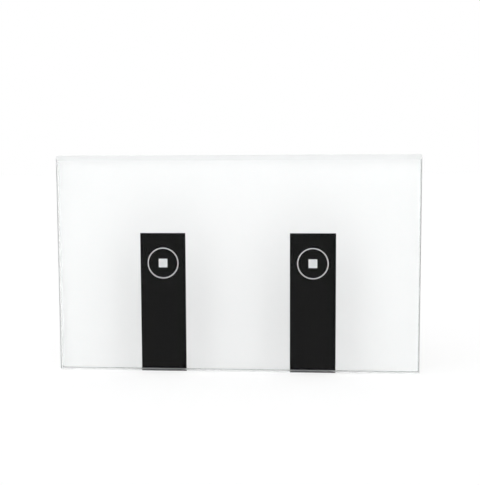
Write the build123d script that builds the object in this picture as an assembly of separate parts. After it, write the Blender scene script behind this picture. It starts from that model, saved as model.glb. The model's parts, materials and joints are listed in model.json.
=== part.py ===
from build123d import *
import math
import os

# A two-way touch light switch for a wall box, with a glass front, in millimetres.
# X is to the right and Z is up. The wall plane is y = 0: the glass front faces -Y,
# and the box in the wall is on the +Y side.

# Glass panel
glass_width = 120.0
glass_height = 72.0
glass_thickness = 5.0
glass_projection = 11.0
edge_chamfer = 0.42
front_corner_radius = 0.1
rear_chamfer = 0.2
top_bevel_height = 1.7
top_bevel_depth = 1.0
cutter_margin = 1.0

# Print on the back of the glass
print_thickness = 0.2
print_margin = 0.2
print_gap = 0.02
strip_width = 15.2
strip_top = 10.1
key_spacing = 50.1
key_height = 0.0
ring_radius = 5.04
ring_line = 0.3
mark_size = 2.9

# Front frame behind the glass, and the tape that holds it
tape_thickness = 0.3
tape_width = 9.0
tape_inset = 2.0
frame_inset = 1.5
frame_corner_radius = 1.5
frame_plate = 1.5
frame_border = 12.5
skirt_wall = 2.2
wall_gap = 0.8
snap_gap = 0.3
snap_rib_clearance = 0.05
snap_rib_length = 8.0
snap_rib_height = 1.2
snap_rib_spacing = 60.0
pry_notch_width = 12.0
pry_notch_depth = 1.5
panel_gap = 0.3

# Base plate and its well
base_corner_radius = 1.5
well_width = 65.0
well_height = 49.0
well_corner_radius = 3.0
well_wall = 1.6
divider = 1.4
part_clearance = 0.2
pilot_clearance = 0.05

# Mounting strap
strap_thickness = 1.2
strap_seat = 1.4
strap_end_margin = 3.0
strap_edge_margin = 2.0
strap_ear_width = 24.0
strap_post_width = 4.5
strap_side_gap = 1.5
strap_well_gap = 1.0
strap_corner_radius = 3.0
box_screw_spacing = 84.0
slot_length = 8.0
slot_radius = 2.1
slot_window_margin = 1.5
rivet_radius = 1.15
rivet_head_radius = 1.9
rivet_head_height = 0.7
rivet_recess = 0.2
rivet_end_margin = 4.0
rivet_edge_margin = 3.0

# Touch board, its cover and its parts
cover_plate = 1.2
cover_wall = 1.2
cover_depth = 2.7
sensor_hole_radius = 4.7
touch_board_thickness = 1.2
touch_space = 3.4
spring_radius = 3.75
spring_wire = 0.5
spring_turns = 4.0
contact_gap = 0.1
guide_flange = 5.0
guide_flange_height = 0.8
guide_pocket_depth = 1.0
led_length = 2.0
led_width = 1.25
led_height = 0.8
touch_chip_size = (10.0, 1.3, 4.0)
touch_chip_legs = 7
touch_chip_pitch = 1.27
control_chip_size = (7.0, 1.0, 7.0)
control_chip_legs = 8
control_chip_pitch = 0.8
chip_offset = 8.0
chip_standoff = 0.1
chip_leg_height = 0.3
chip_leg_width = 0.4
chip_leg_reach = 1.0
radio_length = 18.0
radio_width = 13.0
radio_board_thickness = 0.8
radio_x = -6.0
radio_z = 2.0
shield_length = 12.0
shield_height = 2.0
shield_inset = 1.0
shield_wall = 0.3
header_x = 22.5
header_z = -10.0
header_pitch = 2.54
header_columns = 4
header_end_wall = 0.12
header_pin = 0.64
header_height = 2.5
header_pin_depth = 4.0
socket_height = 8.5
board_screw_offset = 18.6
board_screw_radius = 1.0
board_screw_head_radius = 2.0
board_screw_head_height = 1.1
board_screw_length = 3.6
boss_radius = 2.6

# Cross recess of a screw, as shares of its head's radius and height
recess_span = 1.3
recess_width = 0.3
recess_depth = 0.6

# Rear housing
housing_wall = 1.6
housing_edge_fillet = 1.2
housing_post_radius = 3.3
housing_screw_inset = 4.6
housing_screw_radius = 1.1
housing_screw_head_radius = 2.0
housing_screw_head_height = 1.6
housing_screw_depth = 9.0
housing_screw_bite = 3.0
board_rib_width = 1.5
board_rib_depth = 1.0
label_recess_width = 40.0
label_recess_height = 18.0
label_recess_depth = 0.3
label_recess_z = 8.0

# Power board
power_board_thickness = 1.6
solder_space = 0.9
pin_stub = 0.6
board_edge_gap = 0.3
post_notch_gap = 0.4
pad_size = 3.0

# Terminals
terminal_count = 4
terminal_pitch = 8.5
terminal_wall = 1.5
terminal_floor = 0.9
terminal_entry_wall = 1.6
terminal_back_wall = 1.4
terminal_shoulder = 0.8
cage_width = 6.4
cage_length = 6.0
cage_wall = 1.0
cage_roof = 1.6
cage_clearance = 0.3
cage_travel = 3.0
cage_lift_gap = 0.2
wire_gap = 4.6
bar_width = 3.8
bar_thickness = 1.2
bar_leg = 1.0
bar_roof_gap = 0.8
clamp_screw_radius = 1.45
clamp_screw_thread_gap = 0.07
clamp_screw_hole_gap = 0.15
clamp_screw_head_radius = 2.4
clamp_screw_head_height = 1.8
clamp_screw_end_gap = 0.1
driver_slot_width = 0.7
driver_slot_depth = 0.9
driver_hole_radius = 2.0
entry_flare = 0.4
housing_gap = 0.3

# Relays
relay_length = 18.4
relay_width = 10.2
relay_height = 15.0
relay_wall = 0.6
relay_base_height = 2.0
relay_x = 20.0
relay_post_gap = 0.5
relay_gap = 0.1
yoke_thickness = 1.0
yoke_width = 7.0
yoke_reach = 9.7
yoke_height = 9.5
core_radius = 1.6
pole_radius = 2.6
pole_height = 0.8
yoke_case_gap = 0.9
coil_radius = 3.7
coil_flange_radius = 4.0
coil_flange = 0.8
coil_gap = 0.3
armature_thickness = 1.0
armature_width = 6.4
armature_tail = 0.5
armature_reach = 8.6
armature_gap = 0.05
armature_angle = 3.0
blade_thickness = 0.3
blade_width = 4.0
blade_overhang = 0.2
relay_contact_radius = 1.2
relay_contact_height = 0.6
relay_stop_gap = 0.03
contact_arm = 0.6
contact_case_gap = 0.4
contact_post_width = 4.0

# Other parts on the power board
transformer_length = 13.0
transformer_height = 11.0
transformer_core_depth = 5.0
transformer_limb = 2.2
transformer_centre_limb = 3.4
transformer_winding_depth = 11.0
transformer_lift = 1.5
film_capacitor_size = (13.0, 11.0, 6.0)
film_capacitor_place = (-22.3, -5.5)
film_capacitor_edge = 0.7
varistor_radius = 4.5
varistor_thickness = 3.5
varistor_edge = 1.0
varistor_lead_spacing = 5.0
varistor_place = (-9.0, -5.5)
filter_capacitor_radius = 4.0
filter_capacitor_height = 12.0
filter_capacitor_place = (1.2, -5.5)
output_capacitor_radius = 3.15
output_capacitor_height = 11.0
output_capacitor_place = (10.6, -5.5)
capacitor_groove_depth = 0.35
capacitor_groove_width = 0.9
capacitor_groove_lift = 1.4
fuse_radius = 3.8
fuse_height = 8.0
fuse_lift = 0.6
fuse_lead_spacing = 5.0
fuse_place = (-22.3, 1.7)
lead_radius = 0.35
lead_length = 1.5
bridge_size = (8.0, 2.6, 6.0)
bridge_lead_spacing = 5.1
bridge_lead_height = 1.3
bridge_place = (-7.5, 1.0)

# Planes along Y, from the glass to the rear of the housing
y_glass_front = -glass_projection
y_glass_rear = y_glass_front + glass_thickness
y_print_rear = y_glass_rear + print_thickness
y_tape_rear = y_print_rear + tape_thickness
y_frame_plate = y_tape_rear + frame_plate
y_base_front = y_frame_plate + panel_gap
y_strap_front = -strap_seat - strap_thickness
y_touch_front = y_base_front + cover_depth
y_touch_rear = y_touch_front + touch_board_thickness
y_divider_front = y_touch_rear + touch_space
y_divider_rear = y_divider_front + divider
y_power_front = y_divider_rear + solder_space
y_power_rear = y_power_front + power_board_thickness
y_cage_front = y_power_rear + terminal_floor + cage_lift_gap
y_wire_front = y_cage_front + cage_wall
y_bar_front = y_wire_front + wire_gap
y_bar_rear = y_bar_front + bar_thickness
y_cage_rear = y_bar_rear + bar_roof_gap + cage_roof
y_shoulder_front = y_cage_rear + cage_travel + cage_lift_gap
y_shoulder_rear = y_shoulder_front + terminal_shoulder
y_head_front = y_shoulder_rear + clamp_screw_end_gap
y_head_rear = y_head_front + clamp_screw_head_height
y_block_rear = y_head_rear + part_clearance
y_housing_inner = y_block_rear + housing_gap
y_housing_rear = y_housing_inner + housing_wall

# Outlines and places that several pieces share
glass_corner_radius = front_corner_radius + edge_chamfer
frame_width = glass_width - 2 * frame_inset
frame_height = glass_height - 2 * frame_inset
base_width = frame_width - 2 * (skirt_wall + snap_gap)
base_height = frame_height - 2 * (skirt_wall + snap_gap)
strip_bottom = print_margin - glass_height / 2
key_places = {"left": -key_spacing / 2, "right": key_spacing / 2}
board_width = well_width - 2 * (well_wall + part_clearance)
board_height = well_height - 2 * (well_wall + part_clearance)
power_width = well_width - 2 * (housing_wall + board_edge_gap)
power_height = well_height - 2 * (housing_wall + board_edge_gap)
header_length = header_pitch * header_columns + 2 * header_end_wall
header_width = header_pitch * 2
slot_places = (-box_screw_spacing / 2, box_screw_spacing / 2)
corner_x = well_width / 2 - housing_screw_inset
corner_z = well_height / 2 - housing_screw_inset
corner_places = [(sx * corner_x, sz * corner_z) for sx in (-1, 1) for sz in (-1, 1)]
strap_length = base_width - 2 * strap_end_margin
strap_window_width = well_width + 2 * strap_side_gap
strap_window_height = well_height + 2 * strap_well_gap
strap_ring_width = strap_window_width + 2 * strap_post_width
strap_ring_height = base_height - 2 * strap_edge_margin
rivet_x = strap_length / 2 - rivet_end_margin
rivet_z = strap_ear_width / 2 - rivet_edge_margin
rivet_places = [(sx * rivet_x, sz * rivet_z) for sx in (-1, 1) for sz in (-1, 1)]
board_screw_places = [(0, -board_screw_offset), (0, board_screw_offset)]
terminal_x = [(n - (terminal_count - 1) / 2) * terminal_pitch for n in range(terminal_count)]
block_width = terminal_count * terminal_pitch + terminal_wall
z_block_bottom = housing_wall + housing_gap - well_height / 2
z_cell_bottom = z_block_bottom + terminal_entry_wall
z_clamp = z_cell_bottom + cage_clearance + cage_length / 2
z_cell_top = z_clamp + cage_length / 2 + cage_clearance
z_block_top = z_cell_top + terminal_back_wall
screw_y_front = y_housing_rear - housing_screw_depth
top_row_z = corner_z - housing_post_radius - relay_post_gap - relay_width / 2


def slab(outline, front, rear):
    """A flat piece: an outline in X and Z, from y = front to y = rear."""
    return extrude(Plane.XZ.offset(-rear) * outline, amount=rear - front)


def block(x, y, z):
    """A box between the two limits given on each axis."""
    size = Box(x[1] - x[0], y[1] - y[0], z[1] - z[0])
    return Pos((x[0] + x[1]) / 2, (y[0] + y[1]) / 2, (z[0] + z[1]) / 2) * size


def centred(x, width):
    """The two limits of a span of this width about x."""
    return (x - width / 2, x + width / 2)


def rod(x, z, radius, front, rear):
    """A round bar along Y."""
    return slab(Pos(x, z) * Circle(radius), front, rear)


def rods(places, radius, front, rear):
    """Equal round bars along Y, fused into one cutter or boss."""
    result = Part()
    for x, z in places:
        result += rod(x, z, radius, front, rear)
    return result


def pan_screw(x, z, head_rear, head, shank, length):
    """A cross-recessed screw whose head faces +Y: head and shank are (radius, height or length)."""
    head_radius, head_height = head
    body = rod(x, z, head_radius, head_rear - head_height, head_rear)
    body += rod(x, z, shank, head_rear - head_height - length, head_rear - head_height)
    span = head_radius * recess_span
    width = head_radius * recess_width
    recess_y = (head_rear - head_height * recess_depth, head_rear)
    body -= block(centred(x, span), recess_y, centred(z, width))
    return body - block(centred(x, width), recess_y, centred(z, span))


def glass_panel():
    """The clear front plate, chamfered all round, with a wider bevel along the top."""
    outline = RectangleRounded(glass_width, glass_height, glass_corner_radius)
    plate = slab(outline, y_glass_front, y_glass_rear)
    plate = chamfer(plate.faces().sort_by(Axis.Y)[0].edges(), edge_chamfer)
    plate = chamfer(plate.faces().sort_by(Axis.Y)[-1].edges(), rear_chamfer)
    top = glass_height / 2
    beyond = top + cutter_margin
    ahead = y_glass_front - cutter_margin
    wedge = Polyline(
        (y_glass_front, top - top_bevel_height),
        (ahead, top - top_bevel_height),
        (ahead, beyond),
        (y_glass_front + top_bevel_depth, beyond),
        (y_glass_front + top_bevel_depth, top),
        close=True,
    )
    return plate - extrude(Plane.YZ * make_face(wedge), amount=glass_width, both=True)


def print_layer(outline):
    """One part of the print on the back of the glass."""
    return slab(outline, y_glass_rear, y_print_rear)


def strip_outline(x, grow=0.0):
    """A key's black strip, from the lower edge of the print to just above its ring."""
    height = strip_top - strip_bottom + 2 * grow
    return Pos(x, (strip_top + strip_bottom) / 2) * Rectangle(strip_width + 2 * grow, height)


def white_print():
    """The white print that covers the back of the glass, open at the two strips."""
    width = glass_width - 2 * print_margin
    height = glass_height - 2 * print_margin
    sheet = RectangleRounded(width, height, glass_corner_radius - print_margin)
    for x in key_places.values():
        sheet -= strip_outline(x, print_gap)
    return print_layer(sheet)


def ring_outline(x, grow=0.0):
    """The circle that marks a touch key."""
    outer = Circle(ring_radius + ring_line / 2 + grow)
    inner = Circle(ring_radius - ring_line / 2 - grow)
    return Pos(x, key_height) * (outer - inner)


def mark_outline(x, size=mark_size):
    """The square window at the middle of a touch key."""
    return Pos(x, key_height) * Rectangle(size, size)


def black_strip(x):
    """A key's black strip, open at its ring and at its square window, so it is two faces in one print."""
    outline = strip_outline(x) - ring_outline(x, print_gap)
    outline -= mark_outline(x, mark_size + 2 * print_gap)
    return print_layer(outline)


def adhesive_tape():
    """Foam tape that bonds the printed glass to its frame."""
    width = frame_width - 2 * tape_inset
    height = frame_height - 2 * tape_inset
    ring = Rectangle(width, height) - Rectangle(width - 2 * tape_width, height - 2 * tape_width)
    return slab(ring, y_print_rear, y_tape_rear)


def front_frame():
    """The moulded frame that carries the glass and snaps over the base plate."""
    outer = RectangleRounded(frame_width, frame_height, frame_corner_radius)
    inner_width = frame_width - 2 * skirt_wall
    inner_height = frame_height - 2 * skirt_wall
    frame = slab(outer, y_tape_rear, -wall_gap)
    frame -= slab(Rectangle(inner_width, inner_height), y_frame_plate, -wall_gap)
    window = Rectangle(frame_width - 2 * frame_border, frame_height - 2 * frame_border)
    frame -= slab(window, y_tape_rear, y_frame_plate)
    rib_y = (-wall_gap - 2 * snap_rib_height, -wall_gap - snap_rib_height)
    for x in (-snap_rib_spacing / 2, snap_rib_spacing / 2):
        for side in (-1, 1):
            near = base_height / 2 + snap_rib_clearance
            far = inner_height / 2
            z = (near, far) if side > 0 else (-far, -near)
            frame += block(centred(x, snap_rib_length), rib_y, z)
    notch_z = (-frame_height / 2, -inner_height / 2)
    frame -= block(centred(0, pry_notch_width), (-wall_gap - pry_notch_depth, -wall_gap), notch_z)
    return frame


def strap_outline(grow=0.0):
    """The stamped strap: a ring round the well with an ear on each side."""
    ring = RectangleRounded(strap_ring_width + 2 * grow, strap_ring_height + 2 * grow, strap_corner_radius)
    ears = RectangleRounded(strap_length + 2 * grow, strap_ear_width + 2 * grow, strap_corner_radius)
    window_width = strap_window_width - 2 * grow
    window_height = strap_window_height - 2 * grow
    window = RectangleRounded(window_width, window_height, well_corner_radius)
    return ring + ears - window


def mounting_strap():
    """The steel strap that the wall box screws clamp, slotted for them."""
    outline = strap_outline()
    for x in slot_places:
        outline -= Pos(x, 0) * SlotOverall(slot_length, 2 * slot_radius)
    for x, z in rivet_places:
        outline -= Pos(x, z) * Circle(rivet_radius + pilot_clearance)
    return slab(outline, y_strap_front, -strap_seat)


def strap_rivets():
    """Four rivets that hold the strap in its seat, just below the wall face."""
    return [
        rod(x, z, rivet_head_radius, y_strap_front - rivet_head_height, y_strap_front)
        + rod(x, z, rivet_radius, y_strap_front, -rivet_recess)
        for x, z in rivet_places
    ]


def base_plate():
    """The plate on the wall, with the strap's seat and the well that holds the touch board."""
    plate = slab(RectangleRounded(base_width, base_height, base_corner_radius), y_base_front, 0)
    plate += slab(RectangleRounded(well_width, well_height, well_corner_radius), 0, y_divider_rear)
    inner_width = well_width - 2 * well_wall
    inner_height = well_height - 2 * well_wall
    cavity = RectangleRounded(inner_width, inner_height, well_corner_radius - well_wall)
    plate -= slab(cavity, y_base_front, y_divider_front)
    plate -= slab(strap_outline(part_clearance), y_base_front, -strap_seat)
    plate += rods(corner_places + board_screw_places, boss_radius, y_touch_rear, y_divider_front)
    plate -= rods(board_screw_places, board_screw_radius + pilot_clearance, y_touch_rear, y_divider_front)
    bite = y_divider_rear - housing_screw_bite
    plate -= rods(corner_places, housing_screw_radius + pilot_clearance, bite, y_divider_rear)
    plate -= rods(rivet_places, rivet_radius + pilot_clearance, -strap_seat, 0)
    for x in slot_places:
        width = slot_length + 2 * slot_window_margin
        height = 2 * (slot_radius + slot_window_margin)
        plate -= slab(Pos(x, 0) * Rectangle(width, height), -strap_seat, 0)
    slot = Rectangle(header_length + 2 * part_clearance, header_width + 2 * part_clearance)
    plate -= slab(Pos(header_x, header_z) * slot, y_divider_front, y_divider_rear)
    for x, z in pad_places():
        plate += block(centred(x, pad_size), (y_divider_rear, y_power_front), centred(z, pad_size))
    return plate


def pad_places():
    """Where the divider's pads carry the power board."""
    x = power_width / 2 - pad_size
    z = power_height / 2 - pad_size
    return [(-x, 0), (x, 0), (0, z)]


def sensor_cover():
    """The tray-shaped cover over the touch board, open at the two touch keys."""
    outer = RectangleRounded(board_width, board_height, well_corner_radius - well_wall)
    cover = slab(outer, y_base_front, y_touch_front)
    inner = Rectangle(board_width - 2 * cover_wall, board_height - 2 * cover_wall)
    cover -= slab(inner, y_base_front + cover_plate, y_touch_front)
    key_centres = [(x, key_height) for x in key_places.values()]
    return cover - rods(key_centres, sensor_hole_radius, y_base_front, y_touch_front)


def touch_board():
    """The circuit board that carries the touch springs."""
    outline = RectangleRounded(board_width, board_height, well_corner_radius - well_wall)
    for x, z in board_screw_places:
        outline -= Pos(x, z) * Circle(board_screw_radius + part_clearance)
    return slab(outline, y_touch_front, y_touch_rear) - header_pin_holes(y_touch_front, y_touch_rear)


def header_pin_places():
    """The grid of the pins that join the two boards."""
    columns = [(n - (header_columns - 1) / 2) * header_pitch for n in range(header_columns)]
    return [(header_x + dx, header_z + dz) for dx in columns for dz in (-header_pitch / 2, header_pitch / 2)]


def header_pin_holes(front, rear):
    """Square holes for the header's pins, with their clearance."""
    size = header_pin + 2 * pilot_clearance
    result = Part()
    for x, z in header_pin_places():
        result += block(centred(x, size), (front, rear), centred(z, size))
    return result


def board_screws():
    """Two screws that hold the touch board on its bosses, heads to the front."""
    result = []
    head = (board_screw_head_radius, board_screw_head_height)
    for x, z in board_screw_places:
        screw = pan_screw(x, z, 0, head, board_screw_radius, board_screw_length)
        result.append(Pos(0, y_touch_front - board_screw_head_height, 0) * mirror(screw, about=Plane.XZ))
    return result


def touch_spring(x):
    """The coil spring that carries the touch from the glass to the board."""
    height = y_touch_front - y_print_rear - contact_gap - spring_wire
    path = Helix(pitch=height / spring_turns, height=height, radius=spring_radius)
    wire = Plane(origin=path @ 0, z_dir=path % 0) * Circle(spring_wire / 2)
    coil = sweep(wire, path=path, is_frenet=True)
    return Pos(x, y_touch_front - spring_wire / 2 - pilot_clearance, key_height) * (Rot(90, 0, 0) * coil)


def light_guide(x):
    """The clear square pipe over the indicator light, inside the spring."""
    guide = slab(mark_outline(x), y_print_rear + contact_gap, y_touch_front)
    guide += slab(mark_outline(x, guide_flange), y_touch_front - guide_flange_height, y_touch_front)
    pocket_x = centred(x, led_length + 2 * part_clearance)
    pocket_z = centred(key_height, led_width + 2 * part_clearance)
    return guide - block(pocket_x, (y_touch_front - guide_pocket_depth, y_touch_front), pocket_z)


def status_lights():
    """The two indicator lights, one under each light guide."""
    y = (y_touch_front - led_height, y_touch_front)
    return [block(centred(x, led_length), y, centred(key_height, led_width)) for x in key_places.values()]


def chip(z, size, legs, pitch):
    """A chip with two rows of flat legs on the front of the touch board."""
    length, height, width = size
    body_y = (y_touch_front - height, y_touch_front - chip_standoff)
    body = block(centred(0, length), body_y, centred(z, width))
    leg_y = (y_touch_front - chip_leg_height, y_touch_front)
    leg_z = centred(z, width + 2 * chip_leg_reach)
    for n in range(legs):
        leg_x = (n - (legs - 1) / 2) * pitch
        body += block(centred(leg_x, chip_leg_width), leg_y, leg_z)
    return body


def radio_board():
    """The small board of the radio, on the back of the touch board."""
    y = (y_touch_rear, y_touch_rear + radio_board_thickness)
    return block(centred(radio_x, radio_length), y, centred(radio_z, radio_width))


def radio_shield():
    """The pressed shield over the radio chip."""
    front = y_touch_rear + radio_board_thickness
    x = radio_x - (radio_length - shield_length) / 2 + shield_inset
    width = radio_width - 2 * shield_inset
    can = block(centred(x, shield_length), (front, front + shield_height), centred(radio_z, width))
    inner_x = centred(x, shield_length - 2 * shield_wall)
    inner_z = centred(radio_z, width - 2 * shield_wall)
    return can - block(inner_x, (front, front + shield_height - shield_wall), inner_z)


def board_header():
    """The header's moulded strip and its pins, which plug the touch board into the power board."""
    strip_y = (y_touch_rear, y_touch_rear + header_height)
    strip = block(centred(header_x, header_length), strip_y, centred(header_z, header_width))
    pin_y = (y_touch_front - header_pin, y_power_rear + header_pin_depth)
    for x, z in header_pin_places():
        strip += block(centred(x, header_pin), pin_y, centred(z, header_pin))
    return strip


def board_socket():
    """The socket on the power board, entered from below through the board."""
    y = (y_power_rear, y_power_rear + socket_height)
    body = block(centred(header_x, header_length), y, centred(header_z, header_width))
    return body - header_pin_holes(y_power_rear, y_power_rear + header_pin_depth + part_clearance)


def rear_housing():
    """The cup behind the base plate, with posts for its screws and openings for wires and driver."""
    outer = RectangleRounded(well_width, well_height, well_corner_radius)
    shell = slab(outer, y_divider_rear, y_housing_rear)
    shell = fillet(shell.faces().sort_by(Axis.Y)[-1].edges(), housing_edge_fillet)
    inner_width = well_width - 2 * housing_wall
    inner_height = well_height - 2 * housing_wall
    cavity = RectangleRounded(inner_width, inner_height, well_corner_radius - housing_wall)
    shell -= slab(cavity, y_divider_rear, y_housing_inner)
    shell += rods(corner_places, housing_post_radius, y_divider_rear, y_housing_inner)
    shell -= rods(corner_places, housing_screw_radius + part_clearance, y_divider_rear, y_housing_rear)
    shell -= rods(corner_places, housing_screw_head_radius + part_clearance, screw_y_front, y_housing_rear)
    for x in terminal_x:
        shell -= rod(x, z_clamp, driver_hole_radius, y_housing_inner, y_housing_rear)
        width = cage_width - 2 * cage_wall + 2 * entry_flare
        y = (y_wire_front - entry_flare, y_bar_front + entry_flare)
        shell -= block(centred(x, width), y, (-well_height / 2, housing_wall - well_height / 2))
    recess = Pos(0, label_recess_z) * Rectangle(label_recess_width, label_recess_height)
    shell -= slab(recess, y_housing_rear - label_recess_depth, y_housing_rear)
    rib_y = (y_power_rear, y_housing_inner)
    for side in (-1, 1):
        rib_x = sorted((side * inner_width / 2, side * (inner_width / 2 - board_rib_depth)))
        shell += block(rib_x, rib_y, centred(0, board_rib_width))
    return shell


def housing_screws():
    """Four screws from the rear, through the housing's posts into the base plate."""
    head = (housing_screw_head_radius, housing_screw_head_height)
    head_rear = screw_y_front + housing_screw_head_height
    length = screw_y_front - y_divider_rear + housing_screw_bite - part_clearance
    return [pan_screw(x, z, head_rear, head, housing_screw_radius, length) for x, z in corner_places]


def power_board():
    """The board that carries the relays, the supply and the terminals."""
    outline = Rectangle(power_width, power_height)
    for x, z in corner_places:
        outline -= Pos(x, z) * Circle(housing_post_radius + post_notch_gap)
        away_x = math.copysign(housing_screw_inset, x)
        away_z = math.copysign(housing_screw_inset, z)
        side = housing_post_radius + post_notch_gap
        outline -= Pos(x + away_x / 2, z) * Rectangle(housing_screw_inset, 2 * side)
        outline -= Pos(x, z + away_z / 2) * Rectangle(2 * side, housing_screw_inset)
    board = slab(outline, y_power_front, y_power_rear)
    board -= header_pin_holes(y_power_front, y_power_rear)
    for x in terminal_x:
        board -= bar_pin(x, pilot_clearance)
    for centre in (-relay_x, relay_x):
        board -= relay_pins(centre, pilot_clearance)
    return board


def bar_pin(x, grow=0.0):
    """The leg of a terminal's bar where it passes through the power board."""
    z = (z_block_top + part_clearance - grow, z_block_top + part_clearance + bar_leg + grow)
    y = (y_power_front - pin_stub - grow, y_power_rear + grow)
    return block(centred(x, bar_width / 2 + 2 * grow), y, z)


def terminal_block():
    """The moulded block: a guide for each clamp cage, with its wire entry and screw well."""
    z = (z_block_bottom, z_block_top)
    body = block(centred(0, block_width), (y_power_rear, y_block_rear), z)
    for x in terminal_x:
        cell = centred(x, cage_width + 2 * cage_clearance)
        body -= block(cell, (y_power_rear + terminal_floor, y_shoulder_front), (z_cell_bottom, z_cell_top))
        body -= rod(x, z_clamp, clamp_screw_radius + clamp_screw_hole_gap, y_shoulder_front, y_shoulder_rear)
        body -= rod(x, z_clamp, clamp_screw_head_radius + part_clearance, y_shoulder_rear, y_block_rear)
        entry = centred(x, cage_width - 2 * cage_wall)
        body -= block(entry, (y_wire_front, y_bar_front), (z_block_bottom, z_cell_bottom))
        slot = centred(x, bar_width + 2 * pilot_clearance)
        slot_y = (y_bar_front - pilot_clearance, y_bar_rear + pilot_clearance)
        body -= block(slot, slot_y, (z_cell_top, z_block_top))
    return body


def terminal_bars():
    """The fixed bars that the wires are clamped against, with their legs to the board."""
    result = []
    for x in terminal_x:
        leg_z = (z_block_top + part_clearance, z_block_top + part_clearance + bar_leg)
        bar_z = (z_cell_bottom + part_clearance, leg_z[1])
        bar = block(centred(x, bar_width), (y_bar_front, y_bar_rear), bar_z)
        bar += block(centred(x, bar_width), (y_power_rear, y_bar_rear), leg_z)
        result.append(bar + bar_pin(x))
    return result


def clamp_cage(x):
    """A square cage round the bar, threaded for its screw; it lifts the wire against the bar."""
    z = centred(z_clamp, cage_length)
    cage = block(centred(x, cage_width), (y_cage_front, y_cage_rear), z)
    roof = (y_cage_rear - cage_roof, y_cage_rear)
    cage -= block(centred(x, cage_width - 2 * cage_wall), (y_wire_front, roof[0]), z)
    return cage - rod(x, z_clamp, clamp_screw_radius + clamp_screw_thread_gap, *roof)


def clamp_screw(x):
    """A terminal's slotted screw, its tip on the bar and its head trapped under the housing."""
    screw = rod(x, z_clamp, clamp_screw_radius, y_bar_rear + clamp_screw_end_gap, y_head_front)
    screw += rod(x, z_clamp, clamp_screw_head_radius, y_head_front, y_head_rear)
    slot_y = (y_head_rear - driver_slot_depth, y_head_rear)
    long_slot = block(centred(x, 3 * clamp_screw_head_radius), slot_y, centred(z_clamp, driver_slot_width))
    short_slot = block(centred(x, driver_slot_width), slot_y, centred(z_clamp, clamp_screw_head_radius))
    return screw - long_slot - short_slot


# Relay planes and places, the relay standing on the power board with its pins to the front
y_relay_floor = y_power_rear + relay_base_height
y_relay_rear = y_power_rear + relay_height
y_yoke_front = y_relay_floor + coil_gap
y_yoke_rear = y_yoke_front + yoke_height
y_armature = y_yoke_rear + armature_gap
y_blade = y_armature + armature_thickness
relay_hinge_x = relay_wall + yoke_case_gap - relay_length / 2
core_x = relay_hinge_x + yoke_thickness + coil_gap + coil_flange_radius
contact_post_x = relay_length / 2 - relay_wall - contact_case_gap - contact_arm
relay_contact_reach = contact_post_x - relay_contact_radius - relay_hinge_x
armature_swing = math.sin(math.radians(armature_angle))
y_pole = y_armature - (core_x + pole_radius - relay_hinge_x) * armature_swing - relay_stop_gap
y_moving_contact = y_blade - armature_thickness - relay_contact_height
contact_drop = (relay_contact_reach + relay_contact_radius) * armature_swing
y_fixed_contact = y_moving_contact - contact_drop - relay_stop_gap


def relay_case(centre):
    """The relay's cover, closed to the rear."""
    z = centred(top_row_z, relay_width)
    case = block(centred(centre, relay_length), (y_power_rear + relay_gap, y_relay_rear), z)
    inner_x = centred(centre, relay_length - 2 * relay_wall)
    inner_z = centred(top_row_z, relay_width - 2 * relay_wall)
    return case - block(inner_x, (y_power_rear + relay_gap, y_relay_rear - relay_wall), inner_z)


def relay_base(centre):
    """The relay's moulded base, slotted for its pins."""
    x = centred(centre, relay_length - 2 * (relay_wall + relay_gap))
    z = centred(top_row_z, relay_width - 2 * (relay_wall + relay_gap))
    return block(x, (y_power_rear, y_relay_floor), z) - relay_pins(centre, pilot_clearance)


def relay_pins(centre, grow=0.0):
    """The pins of the yoke and of the fixed contact, through the base and the board."""
    y = (y_power_front - pin_stub - grow, y_relay_floor + grow)
    width = contact_arm + 2 * grow
    z = centred(top_row_z, contact_post_width / 2 + 2 * grow)
    yoke_pin = block(centred(centre + relay_hinge_x + yoke_thickness / 2, width), y, z)
    contact_pin = block(centred(centre + contact_post_x + contact_arm / 2, width), y, z)
    return yoke_pin + contact_pin


def relay_yoke(centre):
    """The L-shaped iron yoke, its core and pole, and its pin."""
    left = centre + relay_hinge_x
    z = centred(top_row_z, yoke_width)
    yoke = block((left, left + yoke_reach), (y_yoke_front, y_yoke_front + yoke_thickness), z)
    yoke += block((left, left + yoke_thickness), (y_yoke_front, y_yoke_rear), z)
    yoke += rod(centre + core_x, top_row_z, core_radius, y_yoke_front, y_pole)
    yoke += rod(centre + core_x, top_row_z, pole_radius, y_pole - pole_height, y_pole)
    pin_x = centred(left + yoke_thickness / 2, contact_arm)
    pin_y = (y_power_front - pin_stub, y_yoke_front)
    return yoke + block(pin_x, pin_y, centred(top_row_z, contact_post_width / 2))


def relay_coil(centre):
    """The coil on its bobbin, round the core."""
    x = centre + core_x
    front = y_yoke_front + yoke_thickness + relay_gap
    rear = y_pole - pole_height - relay_gap
    coil = rod(x, top_row_z, coil_radius, front, rear)
    coil += rod(x, top_row_z, coil_flange_radius, front, front + coil_flange)
    coil += rod(x, top_row_z, coil_flange_radius, rear - coil_flange, rear)
    return coil - rod(x, top_row_z, core_radius + pilot_clearance, front, rear)


def relay_contact(centre):
    """The fixed contact on its post, with its pin."""
    post = centre + contact_post_x
    arm_rear = y_fixed_contact - relay_contact_height
    z = centred(top_row_z, contact_post_width)
    contact_x = centre + relay_hinge_x + relay_contact_reach
    contact = block((post, post + contact_arm), (y_relay_floor, arm_rear), z)
    arm_x = (contact_x - relay_contact_radius, post + contact_arm)
    contact += block(arm_x, (arm_rear - contact_arm, arm_rear), z)
    contact += rod(contact_x, top_row_z, relay_contact_radius, arm_rear, y_fixed_contact)
    pin_y = (y_power_front - pin_stub, y_relay_floor)
    return contact + block((post, post + contact_arm), pin_y, centred(top_row_z, contact_post_width / 2))


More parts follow.
